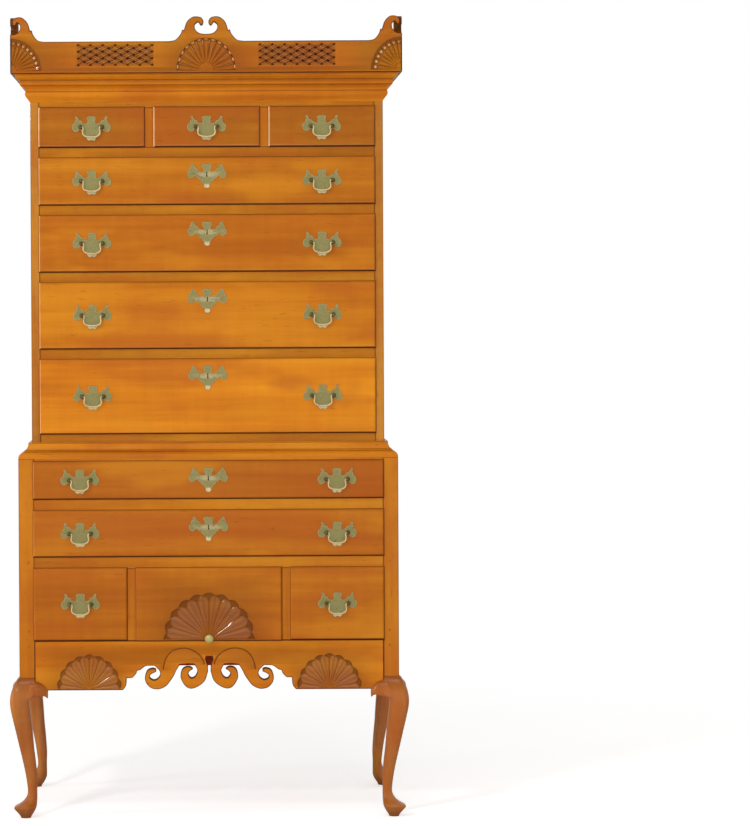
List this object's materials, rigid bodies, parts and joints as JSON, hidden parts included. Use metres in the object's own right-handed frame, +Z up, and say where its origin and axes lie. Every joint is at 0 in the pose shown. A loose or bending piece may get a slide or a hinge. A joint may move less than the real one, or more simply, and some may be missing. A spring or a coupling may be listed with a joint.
{
  "type": "highboy",
  "caption": "Tall chest of drawers in two cases on curved legs with pad feet, with a carved and pierced gallery, a scroll-cut apron, sliding drawers and swinging bail pulls.",
  "frame": {"origin": "on the floor, under the middle of the overall width and depth", "axes": "+X to the right as seen from the front, the front faces -Y, +Z up"},
  "size_m": [1.0504, 0.5584, 2.1077],
  "materials": {
    "maple": "figured maple, amber stain under a soft shine",
    "pine": "unfinished aged softwood, dull",
    "brass": "aged cast brass, worn bright on the edges"
  },
  "bodies": {
    "case": {"leg_front_left": "maple", "leg_front_right": "maple", "leg_back_left": "maple", "leg_back_right": "maple", "apron": "maple", "lower_side_left": "maple", "lower_side_right": "maple", "lower_back": "pine", "lower_bottom_shelf": "pine", "lower_shelf_row8": "maple", "lower_shelf_row7": "maple", "lower_top_board": "maple", "lower_divider_left": "maple", "lower_divider_right": "maple", "waist_moulding": "maple", "upper_side_left": "maple", "upper_side_right": "maple", "upper_back": "pine", "upper_bottom": "maple", "upper_shelf_row5": "maple", "upper_shelf_row4": "maple", "upper_shelf_row3": "maple", "upper_shelf_row2": "maple", "upper_divider_left": "maple", "upper_divider_right": "maple", "upper_top_rail": "maple", "upper_top": "pine", "cornice": "maple", "gallery_front": "maple", "gallery_left": "maple", "gallery_right": "maple"},
    "drawer_row1_left": {"drawer_row1_left": "maple"},
    "drawer_row1_middle": {"drawer_row1_middle": "maple"},
    "drawer_row1_right": {"drawer_row1_right": "maple"},
    "drawer_row2": {"drawer_row2": "maple"},
    "drawer_row3": {"drawer_row3": "maple"},
    "drawer_row4": {"drawer_row4": "maple"},
    "drawer_row5": {"drawer_row5": "maple"},
    "drawer_row6": {"drawer_row6": "maple"},
    "drawer_row7": {"drawer_row7": "maple"},
    "drawer_row8_left": {"drawer_row8_left": "maple"},
    "drawer_row8_middle": {"drawer_row8_middle": "maple"},
    "drawer_row8_right": {"drawer_row8_right": "maple"},
    "bail_row1_left": {"bail_row1_left": "brass"},
    "bail_row1_middle": {"bail_row1_middle": "brass"},
    "bail_row1_right": {"bail_row1_right": "brass"},
    "bail_row2_left": {"bail_row2_left": "brass"},
    "bail_row2_right": {"bail_row2_right": "brass"},
    "bail_row3_left": {"bail_row3_left": "brass"},
    "bail_row3_right": {"bail_row3_right": "brass"},
    "bail_row4_left": {"bail_row4_left": "brass"},
    "bail_row4_right": {"bail_row4_right": "brass"},
    "bail_row5_left": {"bail_row5_left": "brass"},
    "bail_row5_right": {"bail_row5_right": "brass"},
    "bail_row6_left": {"bail_row6_left": "brass"},
    "bail_row6_right": {"bail_row6_right": "brass"},
    "bail_row7_left": {"bail_row7_left": "brass"},
    "bail_row7_right": {"bail_row7_right": "brass"},
    "bail_row8_left": {"bail_row8_left": "brass"},
    "bail_row8_right": {"bail_row8_right": "brass"}
  },
  "joints": [
    {"name": "slide_row1_left", "type": "slide", "parent": "case", "child": "drawer_row1_left", "axis": [0, -1, 0], "range_m": [0, 0.33]},
    {"name": "slide_row1_middle", "type": "slide", "parent": "case", "child": "drawer_row1_middle", "axis": [0, -1, 0], "range_m": [0, 0.33]},
    {"name": "slide_row1_right", "type": "slide", "parent": "case", "child": "drawer_row1_right", "axis": [0, -1, 0], "range_m": [0, 0.33]},
    {"name": "slide_row2", "type": "slide", "parent": "case", "child": "drawer_row2", "axis": [0, -1, 0], "range_m": [0, 0.33]},
    {"name": "slide_row3", "type": "slide", "parent": "case", "child": "drawer_row3", "axis": [0, -1, 0], "range_m": [0, 0.33]},
    {"name": "slide_row4", "type": "slide", "parent": "case", "child": "drawer_row4", "axis": [0, -1, 0], "range_m": [0, 0.33]},
    {"name": "slide_row5", "type": "slide", "parent": "case", "child": "drawer_row5", "axis": [0, -1, 0], "range_m": [0, 0.33]},
    {"name": "slide_row6", "type": "slide", "parent": "case", "child": "drawer_row6", "axis": [0, -1, 0], "range_m": [0, 0.36]},
    {"name": "slide_row7", "type": "slide", "parent": "case", "child": "drawer_row7", "axis": [0, -1, 0], "range_m": [0, 0.36]},
    {"name": "slide_row8_left", "type": "slide", "parent": "case", "child": "drawer_row8_left", "axis": [0, -1, 0], "range_m": [0, 0.36]},
    {"name": "slide_row8_middle", "type": "slide", "parent": "case", "child": "drawer_row8_middle", "axis": [0, -1, 0], "range_m": [0, 0.36]},
    {"name": "slide_row8_right", "type": "slide", "parent": "case", "child": "drawer_row8_right", "axis": [0, -1, 0], "range_m": [0, 0.36]},
    {"name": "swing_row1_left", "type": "hinge", "parent": "drawer_row1_left", "child": "bail_row1_left", "pos_m": [-0.30367, -0.2405, 1.8215], "axis": [-1, 0, 0], "range_deg": [-12, 100]},
    {"name": "swing_row1_middle", "type": "hinge", "parent": "drawer_row1_middle", "child": "bail_row1_middle", "pos_m": [0, -0.2405, 1.8215], "axis": [-1, 0, 0], "range_deg": [-12, 100]},
    {"name": "swing_row1_right", "type": "hinge", "parent": "drawer_row1_right", "child": "bail_row1_right", "pos_m": [0.30367, -0.2405, 1.8215], "axis": [-1, 0, 0], "range_deg": [-12, 100]},
    {"name": "swing_row2_left", "type": "hinge", "parent": "drawer_row2", "child": "bail_row2_left", "pos_m": [-0.30367, -0.2405, 1.679], "axis": [-1, 0, 0], "range_deg": [-12, 100]},
    {"name": "swing_row2_right", "type": "hinge", "parent": "drawer_row2", "child": "bail_row2_right", "pos_m": [0.30367, -0.2405, 1.679], "axis": [-1, 0, 0], "range_deg": [-12, 100]},
    {"name": "swing_row3_left", "type": "hinge", "parent": "drawer_row3", "child": "bail_row3_left", "pos_m": [-0.30367, -0.2405, 1.5145], "axis": [-1, 0, 0], "range_deg": [-12, 100]},
    {"name": "swing_row3_right", "type": "hinge", "parent": "drawer_row3", "child": "bail_row3_right", "pos_m": [0.30367, -0.2405, 1.5145], "axis": [-1, 0, 0], "range_deg": [-12, 100]},
    {"name": "swing_row4_left", "type": "hinge", "parent": "drawer_row4", "child": "bail_row4_left", "pos_m": [-0.30367, -0.2405, 1.3245], "axis": [-1, 0, 0], "range_deg": [-12, 100]},
    {"name": "swing_row4_right", "type": "hinge", "parent": "drawer_row4", "child": "bail_row4_right", "pos_m": [0.30367, -0.2405, 1.3245], "axis": [-1, 0, 0], "range_deg": [-12, 100]},
    {"name": "swing_row5_left", "type": "hinge", "parent": "drawer_row5", "child": "bail_row5_left", "pos_m": [-0.30367, -0.2405, 1.11075], "axis": [-1, 0, 0], "range_deg": [-12, 100]},
    {"name": "swing_row5_right", "type": "hinge", "parent": "drawer_row5", "child": "bail_row5_right", "pos_m": [0.30367, -0.2405, 1.11075], "axis": [-1, 0, 0], "range_deg": [-12, 100]},
    {"name": "swing_row6_left", "type": "hinge", "parent": "drawer_row6", "child": "bail_row6_left", "pos_m": [-0.33825, -0.2705, 0.89175], "axis": [-1, 0, 0], "range_deg": [-12, 100]},
    {"name": "swing_row6_right", "type": "hinge", "parent": "drawer_row6", "child": "bail_row6_right", "pos_m": [0.33825, -0.2705, 0.89175], "axis": [-1, 0, 0], "range_deg": [-12, 100]},
    {"name": "swing_row7_left", "type": "hinge", "parent": "drawer_row7", "child": "bail_row7_left", "pos_m": [-0.33825, -0.2705, 0.751], "axis": [-1, 0, 0], "range_deg": [-12, 100]},
    {"name": "swing_row7_right", "type": "hinge", "parent": "drawer_row7", "child": "bail_row7_right", "pos_m": [0.33825, -0.2705, 0.751], "axis": [-1, 0, 0], "range_deg": [-12, 100]},
    {"name": "swing_row8_left", "type": "hinge", "parent": "drawer_row8_left", "child": "bail_row8_left", "pos_m": [-0.33825, -0.2705, 0.56475], "axis": [-1, 0, 0], "range_deg": [-12, 100]},
    {"name": "swing_row8_right", "type": "hinge", "parent": "drawer_row8_right", "child": "bail_row8_right", "pos_m": [0.33825, -0.2705, 0.56475], "axis": [-1, 0, 0], "range_deg": [-12, 100]}
  ]
}
